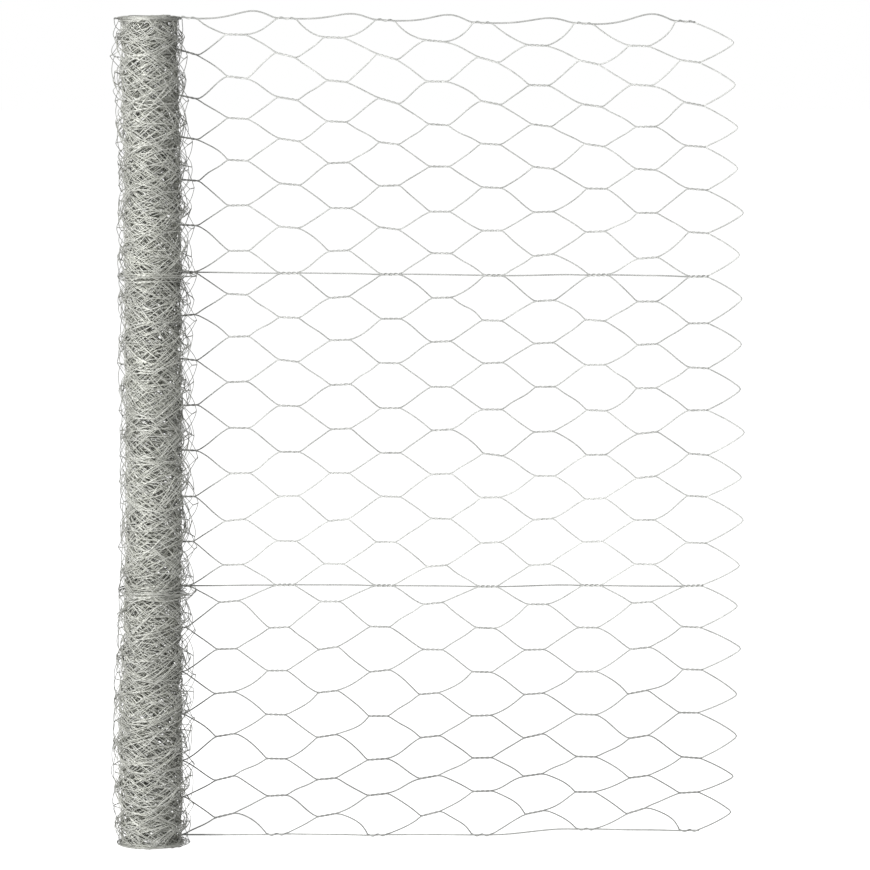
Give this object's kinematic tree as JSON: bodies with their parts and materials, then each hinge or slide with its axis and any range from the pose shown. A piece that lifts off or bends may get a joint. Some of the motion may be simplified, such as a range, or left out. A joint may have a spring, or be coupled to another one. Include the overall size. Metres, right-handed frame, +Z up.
{
  "type": "roll of chicken wire",
  "caption": "Upright roll of galvanised hexagonal wire netting, its loose end pulled out as a flat sheet between straight selvedge wires.",
  "frame": {"origin": "on the roll's axis, at the floor that the roll stands on", "axes": "+Z up along the roll's axis, +X the way the sheet is pulled out, +Y from the roll's axis to the sheet behind it"},
  "size_m": [0.7575, 0.0809, 1],
  "materials": {
    "wound_netting": "galvanised wire, wound turn on turn, dull grey zinc",
    "netting_wire": "galvanised wire, dull grey zinc",
    "straight_wire": "galvanised wire, drawn straight, satin zinc"
  },
  "bodies": {
    "root": {"wound_roll": "wound_netting", "netting_upper": "netting_wire", "netting_middle": "netting_wire", "netting_lower": "netting_wire", "selvedge_wire_top": "straight_wire", "line_wire_upper": "straight_wire", "line_wire_lower": "straight_wire", "selvedge_wire_bottom": "straight_wire"}
  },
  "joints": []
}
